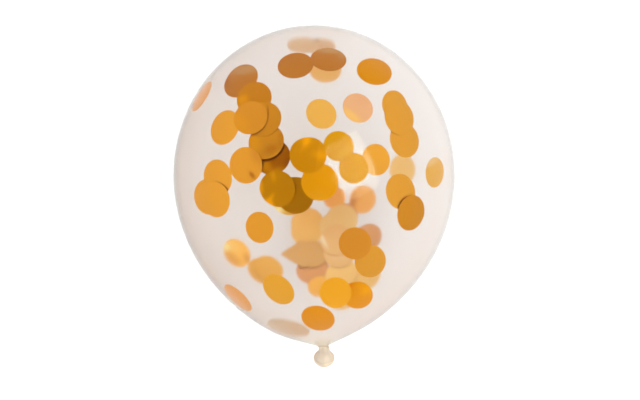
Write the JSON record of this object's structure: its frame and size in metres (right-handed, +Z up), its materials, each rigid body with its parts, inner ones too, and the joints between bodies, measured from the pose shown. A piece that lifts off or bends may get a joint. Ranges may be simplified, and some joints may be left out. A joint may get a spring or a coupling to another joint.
{
  "type": "confetti balloon",
  "caption": "Clear latex party balloon lying on its side, with loose round gold foil confetti sealed inside, a short flared neck and a rolled lip.",
  "frame": {"origin": "middle of the flat spot that the balloon lies on, at the height of the surface under it", "axes": "+Z up; +Y along the balloon from the neck to the crown; +X to the right when it is looked down on with the neck nearest"},
  "size_m": [0.28, 0.3408, 0.2783],
  "materials": {
    "clear_latex": "thin clear latex, smooth and glossy, a little milky, cream where it is thick at the neck",
    "gold_foil": "metallised film, gold, satin to glossy"
  },
  "bodies": {
    "root": {"latex_balloon": "clear_latex"}
  },
  "joints": []
}
